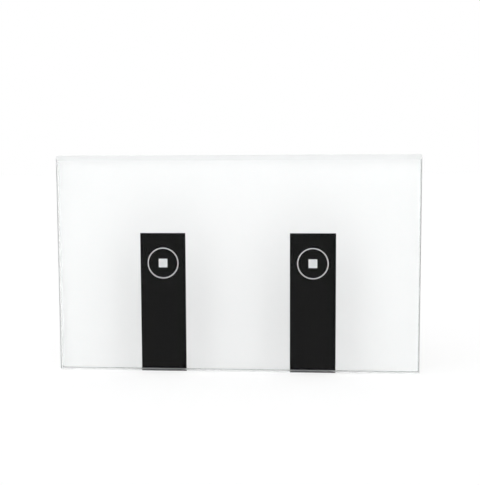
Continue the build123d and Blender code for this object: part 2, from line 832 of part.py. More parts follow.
def relay_armature(centre):
    """The armature that the coil pulls in, with its contact blade."""
    hinge = centre + relay_hinge_x + yoke_thickness / 2
    reach = (hinge - armature_tail, hinge + armature_reach)
    armature = block(reach, (y_armature, y_blade), centred(top_row_z, armature_width))
    contact_x = centre + relay_hinge_x + relay_contact_reach
    blade_x = (hinge + armature_tail, contact_x + relay_contact_radius + blade_overhang)
    armature += block(blade_x, (y_blade, y_blade + blade_thickness), centred(top_row_z, blade_width))
    return armature + rod(contact_x, top_row_z, relay_contact_radius, y_moving_contact, y_blade)


def transformer_core():
    """The two E-shaped ferrite halves of the supply's transformer."""
    y = (y_power_rear + transformer_lift, y_power_rear + transformer_lift + transformer_height)
    z = centred(top_row_z, transformer_core_depth)
    core = block(centred(0, transformer_length), y, z)
    window_y = (y[0] + transformer_limb, y[1] - transformer_limb)
    inner = transformer_centre_limb / 2
    outer = transformer_length / 2 - transformer_limb
    return core - block((inner, outer), window_y, z) - block((-outer, -inner), window_y, z)


def transformer_winding():
    """The transformer's winding on its bobbin, with a foot that stands on the board."""
    core_front = y_power_rear + transformer_lift
    core_rear = core_front + transformer_height
    y = (core_front + transformer_limb + relay_gap, core_rear - transformer_limb - relay_gap)
    outer = transformer_length - 2 * (transformer_limb + relay_gap)
    winding = block(centred(0, outer), y, centred(top_row_z, transformer_winding_depth))
    limb_x = centred(0, transformer_centre_limb + 2 * relay_gap)
    winding -= block(limb_x, y, centred(top_row_z, transformer_core_depth + 2 * relay_gap))
    for side in (-1, 1):
        near = side * (transformer_core_depth / 2 + relay_gap)
        far = side * transformer_winding_depth / 2
        z = sorted((top_row_z + near, top_row_z + far))
        winding += block(centred(0, outer), (y_power_rear, y[0]), z)
    return winding


def film_capacitor():
    """The box-shaped mains capacitor."""
    length, height, width = film_capacitor_size
    x, z = film_capacitor_place
    body = block(centred(x, length), (y_power_rear, y_power_rear + height), centred(z, width))
    return fillet(body.edges().filter_by(Axis.Y), film_capacitor_edge)


def varistor():
    """The surge-arresting disc, standing on its edge."""
    x, z = varistor_place
    disc = Cylinder(varistor_radius, varistor_thickness)
    disc = fillet(disc.edges(), varistor_edge)
    disc = Pos(x, y_power_rear + varistor_radius + lead_length, z) * disc
    for lead_x in centred(x, varistor_lead_spacing):
        disc += rod(lead_x, z, lead_radius, y_power_rear, y_power_rear + varistor_radius)
    return disc


def electrolytic_capacitor(place, radius, height):
    """A round capacitor with the groove that its seal leaves near the board."""
    x, z = place
    body = rod(x, z, radius, y_power_rear, y_power_rear + height)
    groove_front = y_power_rear + capacitor_groove_lift
    groove = slab(Circle(radius) - Circle(radius - capacitor_groove_depth), 0, capacitor_groove_width)
    return body - Pos(x, groove_front, z) * groove


def fuse():
    """The round plug-in fuse, just above the board on its two legs."""
    x, z = fuse_place
    body = rod(x, z, fuse_radius, y_power_rear + fuse_lift, y_power_rear + fuse_height)
    for lead_x in centred(x, fuse_lead_spacing):
        body += rod(lead_x, z, lead_radius, y_power_rear, y_power_rear + fuse_lift)
    return body


def bridge_rectifier():
    """The flat rectifier with its four legs."""
    length, height, width = bridge_size
    x, z = bridge_place
    body = block(centred(x, length), (y_power_rear + lead_radius, y_power_rear + height), centred(z, width))
    lead_y = (y_power_rear, y_power_rear + bridge_lead_height)
    for lead_x in centred(x, bridge_lead_spacing):
        for lead_z in centred(z, width):
            body += block(centred(lead_x, 2 * lead_radius), lead_y, centred(lead_z, 2 * lead_radius))
    return body


nodes = {
    "glass_panel": glass_panel(),
    "white_print": white_print(),
    "adhesive_tape": adhesive_tape(),
    "front_frame": front_frame(),
    "mounting_strap": mounting_strap(),
    "strap_rivets": strap_rivets(),
    "base_plate": base_plate(),
    "sensor_cover": sensor_cover(),
    "touch_board": touch_board(),
    "board_screws": board_screws(),
    "status_lights": status_lights(),
    "touch_chip": chip(chip_offset, touch_chip_size, touch_chip_legs, touch_chip_pitch),
    "control_chip": chip(-chip_offset, control_chip_size, control_chip_legs, control_chip_pitch),
    "radio_board": radio_board(),
    "radio_shield": radio_shield(),
    "board_header": board_header(),
    "board_socket": board_socket(),
    "rear_housing": rear_housing(),
    "housing_screws": housing_screws(),
    "power_board": power_board(),
    "terminal_block": terminal_block(),
    "terminal_bars": terminal_bars(),
    "transformer_core": transformer_core(),
    "transformer_winding": transformer_winding(),
    "film_capacitor": film_capacitor(),
    "varistor": varistor(),
    "filter_capacitor": electrolytic_capacitor(
        filter_capacitor_place, filter_capacitor_radius, filter_capacitor_height
    ),
    "output_capacitor": electrolytic_capacitor(
        output_capacitor_place, output_capacitor_radius, output_capacitor_height
    ),
    "fuse": fuse(),
    "bridge_rectifier": bridge_rectifier(),
}
for side, x in key_places.items():
    nodes[f"black_strip_{side}"] = black_strip(x)
    nodes[f"key_ring_{side}"] = print_layer(ring_outline(x))
    nodes[f"key_window_{side}"] = print_layer(mark_outline(x))
    nodes[f"touch_spring_{side}"] = touch_spring(x)
    nodes[f"light_guide_{side}"] = light_guide(x)
for side, centre in (("left", -relay_x), ("right", relay_x)):
    nodes[f"relay_case_{side}"] = relay_case(centre)
    nodes[f"relay_base_{side}"] = relay_base(centre)
    nodes[f"relay_yoke_{side}"] = relay_yoke(centre)
    nodes[f"relay_coil_{side}"] = relay_coil(centre)
    nodes[f"relay_contact_{side}"] = relay_contact(centre)
    nodes[f"relay_armature_{side}"] = relay_armature(centre)
for number, x in enumerate(terminal_x, 1):
    nodes[f"clamp_screw_{number}"] = clamp_screw(x)
    nodes[f"clamp_cage_{number}"] = clamp_cage(x)

os.makedirs("parts", exist_ok=True)
for name, shape in nodes.items():
    solids = shape if isinstance(shape, list) else [shape]
    solids = [solid for piece in solids for solid in piece.solids()]
    export_step(Compound(children=solids) if len(solids) > 1 else solids[0], f"parts/{name}.step")

# Values that the joints use
relay_hinge_places = [centre + relay_hinge_x + yoke_thickness / 2 for centre in (-relay_x, relay_x)]
print("nodes", len(nodes))
print("terminal screws at x", terminal_x, "z", z_clamp)
print("relay hinges at x", relay_hinge_places, "y", y_yoke_rear + armature_gap / 2, "z", top_row_z)
print("wire space y", y_wire_front, y_bar_front, "z of the cage", centred(z_clamp, cage_length))
print("rear face of the housing y", y_housing_rear)
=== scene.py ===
import json
import math

import bmesh
import bpy
from mathutils import Matrix, Vector


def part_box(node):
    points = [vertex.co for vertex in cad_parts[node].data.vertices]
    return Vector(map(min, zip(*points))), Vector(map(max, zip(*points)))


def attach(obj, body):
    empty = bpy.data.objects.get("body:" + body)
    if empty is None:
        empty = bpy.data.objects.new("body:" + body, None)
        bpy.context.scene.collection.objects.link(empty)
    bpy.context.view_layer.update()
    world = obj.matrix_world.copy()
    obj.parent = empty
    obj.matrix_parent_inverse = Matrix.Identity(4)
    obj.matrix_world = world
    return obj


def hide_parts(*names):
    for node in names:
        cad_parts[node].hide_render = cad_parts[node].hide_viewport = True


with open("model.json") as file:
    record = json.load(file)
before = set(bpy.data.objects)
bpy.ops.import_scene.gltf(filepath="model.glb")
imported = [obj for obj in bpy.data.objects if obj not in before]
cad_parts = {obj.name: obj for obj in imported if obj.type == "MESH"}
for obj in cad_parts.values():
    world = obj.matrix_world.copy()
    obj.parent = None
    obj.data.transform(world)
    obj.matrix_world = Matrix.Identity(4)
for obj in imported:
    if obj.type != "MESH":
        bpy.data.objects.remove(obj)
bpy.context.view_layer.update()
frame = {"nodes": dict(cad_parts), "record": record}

# A two-gang touch light switch with a glass front, stood up on a white table.
# Places are in metres in the CAD frame: X to the right, Z up, the glass front faces -Y.

MM = 0.001

# Faces of the CAD parts that the finishes and the camera refer to
glass_low, glass_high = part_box("glass_panel")
print_low, print_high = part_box("white_print")
power_low, power_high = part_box("power_board")
touch_low, touch_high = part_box("touch_board")

# Camera, fitted to the photograph: it looks at a point on the glass from a little right and above
camera_distance = 300 * MM
camera_azimuth = math.radians(4.529)
camera_elevation = math.radians(5.474)
camera_roll = math.radians(-0.269)
camera_aim = Vector((1.136 * MM, glass_low.y, 7.321 * MM))
camera_lens = 67.729
camera_sensor = 36.0
camera_near = 10 * MM

# Studio: even fill, a soft box above the front left, and a white table just under the glass
fill_light = 0.89
soft_box_light = 0.55
soft_box_direction = Vector((-0.3, -0.6, 0.74)).normalized()
soft_box_edge = math.cos(math.radians(50))
soft_box_core = math.cos(math.radians(25))
white = 1.0
table_gap = 0.1 * MM
table_half = 3.0
# How much of what the camera sees of the table is plain white. The rest is the card with its shadow.
table_lift = 0.5

# How far the ink of the print ran towards the edge of the glass, and how near the print's own edge
# a point has to be to move with it
ink_run = 0.14 * MM
run_reach = 0.35 * MM
# Optical contact: the glass reaches this far over the front of the print behind it
ink_contact = 0.02 * MM
merge_distance = 0.001 * MM
far = 1000 * MM
flat_angle = math.radians(1.0)
# A face of the glass is its front or its back when it turns that way fully, and part of its edge otherwise.
# Of the edge, a face belongs to a side when it turns that way at least a little.
full_turn = 0.999
little_turn = 0.1

# Looks of a pattern: the texture, its output, and the scale at which its marks are one unit wide
cloud = ("ShaderNodeTexNoise", "Fac", 1.0)
cells = ("ShaderNodeTexVoronoi", "Distance", 1.0)
waves = ("ShaderNodeTexWave", "Fac", math.tau / 20)
# Between these two values a pattern goes from one tone or roughness to the other
pattern_low, pattern_high = 0.3, 0.7
# A copper track rises between these two values of the pattern of squares
track_low, track_high = 0.36, 0.4

# Reach of metal legs beyond their moulded bodies, depth of the header's strip and thickness of a bobbin's
# flanges, as the CAD parts have them
chip_leg = 1.0 * MM
bridge_leg = 0.35 * MM
header_strip = 2.5 * MM
varistor_leg = 1.5 * MM
fuse_leg = 0.6 * MM
bobbin_flange = 0.8 * MM
tinned_leg = "#C9C8C4"
# The bare end of a capacitor's can: how deep it is coloured, half the width of the scored lines on it,
# and how far out the bare metal and the lines reach, as shares of the can's radius
end_skin = 0.2 * MM
score = 0.08 * MM
bare_reach = 0.8
score_reach = 0.6
# The window of an indicator light: its distance from the end and its radius, as shares of the height
window_inset = 0.8
window_radius = 0.38
# The sawn edge of a circuit board, free of solder mask
skin = 0.05 * MM

# A solder joint is a cone with this many sides and steps up, round a lead with this many sides
solder_sides, solder_steps, lead_sides = 16, 4, 12
# Its cone stands on Z = 0, and is turned so that it stands on the front of a board
to_front = (math.radians(90), 0, 0)

# How often light may pass between the print and the glass, by each kind of pass and in all
passes = 24
all_passes = 32


# Places in millimetres, across and up, where leads come through the boards and are soldered
power_leads = [
    (-12.75, -12.3), (-4.25, -12.3), (4.25, -12.3), (12.75, -12.3),         # terminal bars
    (-27.2, 11.0), (-12.1, 11.0), (12.8, 11.0), (27.9, 11.0),               # relays
    (-3.75, 6.5), (-1.25, 6.5), (1.25, 6.5), (3.75, 6.5),                   # transformer, mains side
    (-3.75, 15.5), (-1.25, 15.5), (1.25, 15.5), (3.75, 15.5),               # transformer, low-voltage side
    (-27.3, -5.5), (-17.3, -5.5), (-11.5, -5.5), (-6.5, -5.5),              # film capacitor and varistor
    (-0.55, -5.5), (2.95, -5.5), (9.35, -5.5), (11.85, -5.5),               # electrolytic capacitors
    (-24.8, 1.7), (-19.8, 1.7),                                             # fuse
    (-10.05, -2.0), (-4.95, -2.0), (-10.05, 4.0), (-4.95, 4.0),             # bridge rectifier
]
header_leads = [(x, z) for x in (18.69, 21.23, 23.77, 26.31) for z in (-11.27, -8.73)]


def linear(hex_colour):
    """Turns an sRGB hex colour to the linear colour that a socket takes."""
    parts = [int(hex_colour[start:start + 2], 16) / 255 for start in (1, 3, 5)]
    return tuple(c / 12.92 if c <= 0.04045 else ((c + 0.055) / 1.055) ** 2.4 for c in parts) + (1.0,)


def add_node(tree, kind, inputs=None, stops=None, **settings):
    """Adds a node: settings are its own properties, and inputs are its sockets by name or number,
    each with a value or with another node's socket to link. Stops are a ramp's places and colours."""
    node = tree.nodes.new(kind)
    for name, value in settings.items():
        setattr(node, name, value)
    for name, value in (inputs or {}).items():
        if isinstance(value, bpy.types.NodeSocket):
            tree.links.new(value, node.inputs[name])
        else:
            node.inputs[name].default_value = value
    for index, (place, colour) in enumerate(stops or []):
        ramp = node.color_ramp.elements
        stop = ramp[index] if index < len(ramp) else ramp.new(place)
        stop.position = place
        stop.color = colour
    return node


def new_finish(name, colour, roughness, **sockets):
    """Starts a material and returns it with its tree, its shader and the place on the piece."""
    material = bpy.data.materials.new(name)
    material.use_nodes = True
    tree = material.node_tree
    tree.nodes.clear()
    inputs = {"Base Color": linear(colour), "Roughness": roughness}
    inputs.update({socket.replace("_", " "): value for socket, value in sockets.items()})
    shader = add_node(tree, "ShaderNodeBsdfPrincipled", inputs)
    add_node(tree, "ShaderNodeOutputMaterial", {"Surface": shader.outputs[0]})
    place = add_node(tree, "ShaderNodeTexCoord").outputs["Object"]
    return material, tree, shader, place


def pattern(tree, place, look, size, **settings):
    """Spreads a look (cloud, cells or waves) over the piece, with marks that many millimetres wide."""
    kind, output, unit_scale = look
    inputs = {"Vector": place, "Scale": unit_scale / (size * MM)}
    return add_node(tree, kind, inputs, **settings).outputs[output]


def shade_between(tree, shader, marks, dark, light):
    """Colours the shader between two hex colours by the marks of a pattern, and returns the colour."""
    stops = [(pattern_low, linear(dark)), (pattern_high, linear(light))]
    ramp = add_node(tree, "ShaderNodeValToRGB", {"Fac": marks}, stops)
    tree.links.new(ramp.outputs["Color"], shader.inputs["Base Color"])
    return ramp.outputs["Color"]


def vary_roughness(tree, shader, marks, low, high):
    """Makes the shader's roughness run from low to high with the marks of a pattern."""
    spread = add_node(tree, "ShaderNodeMapRange", {
        "Value": marks, "From Min": pattern_low, "From Max": pattern_high, "To Min": low, "To Max": high})
    tree.links.new(spread.outputs[0], shader.inputs["Roughness"])


def relief(tree, shader, marks, depth, edge=0.0):
    """Raises the surface by a pattern's marks, that many millimetres deep, and rounds edges to the eye."""
    inputs = {"Height": marks, "Distance": depth * MM, "Strength": 1.0}
    if edge:
        inputs["Normal"] = add_node(tree, "ShaderNodeBevel", {"Radius": edge * MM}, samples=4).outputs[0]
    bump = add_node(tree, "ShaderNodeBump", inputs)
    tree.links.new(bump.outputs["Normal"], shader.inputs["Normal"])


def inside(tree, place, low, high):
    """1 between two corners of a box and 0 outside them. A corner's value of None sets no limit."""
    middle = [0.0 if None in pair else sum(pair) / 2 for pair in zip(low, high)]
    half = [far if None in pair else (pair[1] - pair[0]) / 2 for pair in zip(low, high)]
    offset = add_node(tree, "ShaderNodeVectorMath", {0: place, 1: middle}, operation="SUBTRACT")
    share = add_node(tree, "ShaderNodeVectorMath", {0: offset.outputs[0], 1: half}, operation="DIVIDE")
    size = add_node(tree, "ShaderNodeVectorMath", {0: share.outputs[0]}, operation="ABSOLUTE")
    x, y, z = add_node(tree, "ShaderNodeSeparateXYZ", {0: size.outputs[0]}).outputs
    wider = add_node(tree, "ShaderNodeMath", {0: x, 1: y}, operation="MAXIMUM")
    widest = add_node(tree, "ShaderNodeMath", {0: wider.outputs[0], 1: z}, operation="MAXIMUM")
    return add_node(tree, "ShaderNodeMath", {0: widest.outputs[0], 1: 1.0}, operation="LESS_THAN").outputs[0]


def outside(tree, place, low, high):
    """0 between two corners of a box and 1 outside them."""
    mask = inside(tree, place, low, high)
    return add_node(tree, "ShaderNodeMath", {0: 1.0, 1: mask}, operation="SUBTRACT").outputs[0]


def around(tree, place, centre, radius):
    """1 within a radius of an axis along Y through a centre, and 0 elsewhere."""
    flat = add_node(tree, "ShaderNodeVectorMath", {0: place, 1: (1, 0, 1)}, operation="MULTIPLY").outputs[0]
    gap = add_node(tree, "ShaderNodeVectorMath", {0: flat, 1: (centre.x, 0, centre.z)}, operation="DISTANCE")
    gap = gap.outputs["Value"]
    return add_node(tree, "ShaderNodeMath", {0: gap, 1: radius}, operation="LESS_THAN").outputs[0]


def cover_with(tree, shader, mask, colour, metallic):
    """Lays another colour over the shader's own where a mask is 1: bare metal there if metallic is 1."""
    # A Mix node's inputs 6 and 7 and output 2 are for colours, and inputs 2 and 3 and output 0 for numbers.
    # Where over and under are the same number, the shader keeps its own.
    for socket, over, data_type, index in (
            ("Base Color", linear(colour), "RGBA", 2), ("Metallic", metallic, "FLOAT", 0)):
        links = shader.inputs[socket].links
        under = links[0].from_socket if links else shader.inputs[socket].default_value
        if under != over:
            inputs = {"Factor": mask, 2 + 2 * index: under, 3 + 2 * index: over}
            mix = add_node(tree, "ShaderNodeMix", inputs, data_type=data_type)
            tree.links.new(mix.outputs[index], shader.inputs[socket])


def plainly_seen(tree):
    """1 for what a reflection or clear glass shows, and 0 for what the camera or a matt surface sees."""
    path = add_node(tree, "ShaderNodeLightPath").outputs
    kinds = {0: path["Is Glossy Ray"], 1: path["Is Transmission Ray"]}
    return add_node(tree, "ShaderNodeMath", kinds, operation="MAXIMUM").outputs[0]


def toughened_glass():
    # Toughened float glass, polished: clear and neutral, with the faint roller waves of toughening.
    # The black print behind it shows almost unveiled, so the mirror image of the room is held low.
    material, tree, shader, place = new_finish(
        "toughened_glass", "#FFFFFF", roughness=0.0, Transmission_Weight=1.0, IOR=1.5,
        Specular_Tint=(0.25, 0.25, 0.25, 1.0))
    relief(tree, shader, pattern(tree, place, cloud, size=30.0), depth=0.002)
    return material


def ground_glass(name, colour, transmission, roughness=0.45):
    # A ground surface is satin: it passes part of the light and scatters the rest, in the colour it is given.
    # It is up to a tenth rougher or smoother from place to place.
    material, tree, shader, place = new_finish(
        name, colour, roughness, Transmission_Weight=transmission, IOR=1.5)
    grit = pattern(tree, place, cloud, size=0.6)
    vary_roughness(tree, shader, grit, low=roughness * 0.9, high=roughness * 1.1)
    return material


def screen_print(name, dark, light):
    # Screen-printed ink in contact with the glass: it has no gloss of its own there,
    # and its tone wanders a little with the thickness that the screen's mesh left.
    material, tree, shader, place = new_finish(name, light, roughness=0.6, Specular_IOR_Level=0.0)
    shade_between(tree, shader, pattern(tree, place, cloud, size=1.2), dark, light)
    return material


def painted_glow_print(name, dark, light, painted_glow):
    # Thin pale ink with a painted glow: its emission makes it show brighter than the light on it gives.
    material, tree, shader, place = new_finish(
        name, light, roughness=0.6, Specular_IOR_Level=0.0, Emission_Strength=painted_glow)
    colour = shade_between(tree, shader, pattern(tree, place, cloud, size=0.8), dark, light)
    tree.links.new(colour, shader.inputs["Emission Color"])
    return material


def moulded_plastic(name, dark, light, roughness, grain=0.35, depth=0.012):
    # Injection-moulded plastic: the mould's spark-eroded grain, drawn a little coarse so that it shows,
    # a slow change of tone from the flow of the melt, and edges as round as a mould leaves them.
    material, tree, shader, place = new_finish(name, light, roughness, IOR=1.53)
    shade_between(tree, shader, pattern(tree, place, cloud, size=14.0), dark, light)
    patches = pattern(tree, place, cloud, size=3.0)
    vary_roughness(tree, shader, patches, low=roughness - 0.05, high=roughness + 0.05)
    relief(tree, shader, pattern(tree, place, cloud, size=grain), depth, edge=0.15)
    return material, tree, shader, place


def plated_metal(name, dark, light, low, high, streak=(1.0, 1.0, 1.0)):
    # Plated metal: satin, in streaks along the rolling or drawing direction that are between low and high
    # in roughness, and with a faint change of colour where the plating is thicker.
    material, tree, shader, place = new_finish(name, light, low, Metallic=1.0)
    drawn = add_node(tree, "ShaderNodeMapping", {"Vector": place, "Scale": streak}).outputs[0]
    shade_between(tree, shader, pattern(tree, place, cloud, size=6.0), dark, light)
    vary_roughness(tree, shader, pattern(tree, drawn, cloud, size=0.5), low, high)
    relief(tree, shader, pattern(tree, drawn, cloud, size=0.3), depth=0.004, edge=0.08)
    return material


def foam():
    # Closed-cell polyethylene foam: matt, with small round cells cut open along its edge.
    material, tree, shader, place = new_finish("foam_tape", "#DEDED9", roughness=0.9)
    pores = pattern(tree, place, cells, size=0.25)
    shade_between(tree, shader, pores, "#E6E6E1", "#C9C9C3")
    relief(tree, shader, pores, depth=0.08)
    return material


def circuit_board(name, low, high):
    # Fibreglass board under green solder mask: glossy, with copper tracks standing up under the mask,
    # and its sawn edge bare and tan.
    material, tree, shader, place = new_finish(name, "#14532F", roughness=0.3, IOR=1.5)
    squares = pattern(tree, place, cells, size=2.4, distance="CHEBYCHEV")
    tracks = add_node(tree, "ShaderNodeMapRange", {
        "Value": squares, "From Min": track_low, "From Max": track_high}).outputs[0]
    shade_between(tree, shader, tracks, "#0F4527", "#1D6A3C")
    relief(tree, shader, tracks, depth=0.03)
    edge = outside(tree, place, (low.x + skin, None, low.z + skin), (high.x - skin, None, high.z - skin))
    cover_with(tree, shader, edge, "#B7A56C", 0)
    return material


def chip_epoxy(node, reach):
    # Moulded black epoxy with a fine sandy skin; its legs are tinned copper.
    low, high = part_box(node)
    material, tree, shader, place = moulded_plastic(
        f"{node}_epoxy", "#161616", "#1F1F1F", roughness=0.5, grain=0.15)
    legs = outside(tree, place, (None, None, low.z + reach), (None, None, high.z - reach))
    cover_with(tree, shader, legs, tinned_leg, 1)
    return material


def legged_plastic(name, dark, light, roughness, leg_low, leg_high):
    # Moulded plastic or dipped resin round tinned legs, which show between two depths.
    material, tree, shader, place = moulded_plastic(name, dark, light, roughness)
    legs = inside(tree, place, (None, leg_low, None), (None, leg_high, None))
    cover_with(tree, shader, legs, tinned_leg, 1)
    return material


def header_nylon():
    # Black glass-filled nylon strip, its square pins gold flashed: they stand out of it at both ends.
    strip_front, strip_rear = touch_high.y, touch_high.y + header_strip
    material, tree, shader, place = moulded_plastic("header_nylon", "#151515", "#1C1C1C", roughness=0.45)
    pins = outside(tree, place, (None, strip_front, None), (None, strip_rear, None))
    cover_with(tree, shader, pins, "#D9B25A", 1)
    return material


def capacitor_sleeve(node):
    # Aluminium can in a shrunk PET sleeve: the sleeve is dark and glossy with a pale stripe down one side,
    # and it leaves the can's end bare, which is scored with a cross so that it can vent.
    low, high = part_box(node)
    centre = (low + high) / 2
    radius = (high.x - low.x) / 2
    material, tree, shader, place = moulded_plastic(f"{node}_sleeve", "#181B27", "#202431", roughness=0.25)
    stripe_half, stripe_depth = radius / 3, radius / 2
    stripe = inside(tree, place, (centre.x - stripe_half, None, high.z - stripe_depth),
                    (centre.x + stripe_half, None, high.z + radius))
    cover_with(tree, shader, stripe, "#9FA3AD", 0)
    end = inside(tree, place, (None, high.y - end_skin, None), (None, high.y + end_skin, None))
    rim = around(tree, place, centre, radius * bare_reach)
    bare = add_node(tree, "ShaderNodeMath", {0: end, 1: rim}, operation="MULTIPLY").outputs[0]
    cover_with(tree, shader, bare, "#C4C6C8", 1)
    # The scores are real, but they are drawn only in colour: their dark metal is painted shade for the
    # grooves.
    for across, along in ((score, radius * score_reach), (radius * score_reach, score)):
        line = inside(tree, place, (centre.x - across, high.y - end_skin, centre.z - along),
                      (centre.x + across, high.y + end_skin, centre.z + along))
        cover_with(tree, shader, line, "#5A5C5E", 1)
    return material


def winding_tape():
    # Glossy yellow polyester tape, wound in turns whose edges show as fine lines.
    material, tree, shader, place = moulded_plastic("winding_tape", "#D7B31C", "#E6C42B", roughness=0.3)
    turns = pattern(tree, place, waves, size=2.5, bands_direction="Y")
    relief(tree, shader, turns, depth=0.03)
    return material


def coil_wire(node):
    # Enamelled copper wire wound side by side between the white nylon flanges of its bobbin.
    low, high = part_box(node)
    material, tree, shader, place = new_finish(f"{node}_wire", "#B5622F", roughness=0.25, Metallic=1.0)
    turns = pattern(tree, place, waves, size=0.25, bands_direction="Y")
    # The copper runs from dark to light across each turn: painted shade between the turns and painted light
    # on their tops.
    shade_between(tree, shader, turns, "#8F4721", "#C9763F")
    relief(tree, shader, turns, depth=0.05)
    nylon = outside(tree, place, (None, low.y + bobbin_flange, None), (None, high.y - bobbin_flange, None))
    cover_with(tree, shader, nylon, "#E9E8E2", 0)
    return material


def light_chip():
    # Small indicator light: white ceramic with a round window of yellowish resin over the chip.
    material, tree, shader, place = moulded_plastic("light_chip", "#ECEBE6", "#F3F2EE", roughness=0.35)
    low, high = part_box("status_lights")
    height = high.z - low.z
    for x in (low.x + height * window_inset, high.x - height * window_inset):
        window = around(tree, place, Vector((x, 0, (low.z + high.z) / 2)), height * window_radius)
        cover_with(tree, shader, window, "#E6D98A", 0)
    return material


def shield_tin():
    # Tinned steel can over the radio: bright, with the crystals of the hot tin just visible.
    material, tree, shader, place = new_finish("shield_tin", "#C8C9C6", roughness=0.28, Metallic=1.0)
    crystals = pattern(tree, place, cells, size=1.6, feature="SMOOTH_F1")
    shade_between(tree, shader, crystals, "#B7B9B6", "#CFD0CD")
    vary_roughness(tree, shader, crystals, low=0.22, high=0.38)
    relief(tree, shader, pattern(tree, place, cloud, size=0.3), depth=0.004, edge=0.1)
    return material


def acrylic():
    # Clear moulded acrylic: the light guide is glossy and passes the indicator's light.
    material, tree, shader, place = new_finish(
        "acrylic", "#F4F6F6", roughness=0.08, Transmission_Weight=0.9, IOR=1.49)
    relief(tree, shader, pattern(tree, place, cloud, size=0.8), depth=0.004)
    return material


def slot_finishes():
    """One finish for each material slot of the record, for the nodes that have no finish of their own."""
    return {
        "white_ink": screen_print("white_ink", "#FDFEFE", "#FEFEFE"),
        "black_ink": screen_print("black_ink", "#0B0B0B", "#0D0D0D"),
        # The grey ring and the key window carry a painted glow.
        "grey_ink": painted_glow_print("ring_ink", "#C4C6C7", "#C8CACB", painted_glow=0.22),
        "window_ink": painted_glow_print("window_ink", "#D0D2D3", "#D4D6D7", painted_glow=0.24),
        "foam_tape": foam(),
        "white_abs": moulded_plastic("white_abs", "#EEEEEB", "#F0F0ED", roughness=0.38)[0],
        "white_pc": moulded_plastic("white_polycarbonate", "#E8E8E4", "#EAEAE6", roughness=0.45)[0],
        "zinc_steel": plated_metal(
            "zinc_plated_steel", "#AFB3B4", "#C3C7C9", low=0.3, high=0.45, streak=(0.12, 1.0, 1.0)),
        "screw_steel": plated_metal("zinc_plated_screw", "#B9BBBB", "#CDCFD1", low=0.25, high=0.4),
        "spring_steel": plated_metal("spring_wire", "#C9CBCD", "#D9DBDD", low=0.12, high=0.25),
        "guide_acrylic": acrylic(),
        "led_resin": light_chip(),
        "shield_tin": shield_tin(),
        "black_nylon": moulded_plastic("black_nylon", "#161616", "#1D1D1D", roughness=0.45)[0],
        "grey_polyamide": moulded_plastic("grey_polyamide", "#3C3F42", "#45484B", roughness=0.5)[0],
        "tinned_copper": plated_metal("tinned_copper", "#BDB9AE", "#CFCBC1", low=0.2, high=0.35),
        "ferrite": moulded_plastic(
            "sintered_ferrite", "#29292C", "#353538", roughness=0.6, grain=0.12, depth=0.02)[0],
        "winding_tape": winding_tape(),
        "capacitor_box": moulded_plastic("capacitor_box", "#C99D22", "#D6AC33", roughness=0.28)[0],
        "relay_plastic": moulded_plastic("relay_cover", "#15335F", "#1B3B6B", roughness=0.32)[0],
        "relay_iron": plated_metal("plated_iron", "#A9A9A7", "#BEBEBC", low=0.3, high=0.45),
        "contact_copper": plated_metal("contact_copper", "#C9875A", "#D99A6C", low=0.2, high=0.35),
    }


def node_finishes():
    """The finishes of nodes whose metal legs, windows or edges need a finish of their own."""
    board_face = power_high.y
    return {
        "touch_board": circuit_board("touch_board_mask", touch_low, touch_high),
        "power_board": circuit_board("power_board_mask", power_low, power_high),
        "radio_board": circuit_board("radio_board_mask", *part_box("radio_board")),
        "touch_chip": chip_epoxy("touch_chip", chip_leg),
        "control_chip": chip_epoxy("control_chip", chip_leg),
        "bridge_rectifier": chip_epoxy("bridge_rectifier", bridge_leg),
        "board_header": header_nylon(),
        "varistor": legged_plastic(
            "dipped_epoxy", "#1C3C88", "#24499C", roughness=0.28,
            leg_low=board_face - MM, leg_high=board_face + varistor_leg),
        "fuse": legged_plastic(
            "fuse_plastic", "#46221C", "#552B24", roughness=0.4,
            leg_low=board_face - MM, leg_high=board_face + fuse_leg),
        "filter_capacitor": capacitor_sleeve("filter_capacitor"),
        "output_capacitor": capacitor_sleeve("output_capacitor"),
        "relay_coil_left": coil_wire("relay_coil_left"),
        "relay_coil_right": coil_wire("relay_coil_right"),
    }


def finish_cad_nodes(by_slot):
    """Gives every CAD node its finish."""
    by_node = node_finishes()
    for part in frame["record"]["subparts"]:
        name, slot = part["node"], part["material_slot"]
        if name in by_node or slot in by_slot:
            materials = frame["nodes"][name].data.materials
            materials.clear()
            materials.append(by_node.get(name) or by_slot[slot])


def add_piece(name, mesh, body, slot, *replaced):
    """Puts a finished mesh in the scene as a piece that rides on a body and may replace CAD nodes."""
    mesh.name = name
    piece = bpy.data.objects.new(name, mesh)
    bpy.context.scene.collection.objects.link(piece)
    if replaced:
        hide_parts(*replaced)
    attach(piece, body)


def merged_copy(node):
    """Copies a CAD node's mesh without material, and joins its loose triangles in an editable shape."""
    mesh = frame["nodes"][node].data.copy()
    mesh.materials.clear()
    shape = bmesh.new()
    shape.from_mesh(mesh)
    bmesh.ops.remove_doubles(shape, verts=shape.verts, dist=merge_distance)
    return mesh, shape


def build_print(white_ink):
    """The white print. Its screen was a little smaller than the glass, and the wet ink ran outwards."""
    mesh, shape = merged_copy("white_print")
    mesh.materials.append(white_ink)
    outer_x, outer_z = print_high.x - run_reach, print_high.z - run_reach
    for vertex in shape.verts:
        for axis, outer in ((0, outer_x), (2, outer_z)):
            if abs(vertex.co[axis]) > outer:
                vertex.co[axis] += math.copysign(ink_run, vertex.co[axis])
    shape.to_mesh(mesh)
    shape.free()
    add_piece("printed_white", mesh, "front_panel", "white_ink", "white_print")


def glass_finish(facing):
    """Which of the glass's four finishes a face has, by the way it faces. The chamfer finish is painted
    shade, the bevel finish painted light.
    """
    polished, edge, chamfer, bevel = range(4)
    front, rear = facing.y < -little_turn, facing.y > little_turn
    if abs(facing.y) > full_turn:
        return polished
    if facing.z > little_turn:
        return bevel
    if facing.z < -little_turn:
        # Along the bottom the front chamfer is polished, and shows the print. The rear one is ground, with
        # the chamfers' painted grey shade.
        return polished if front else chamfer if rear else bevel
    return chamfer if front else edge


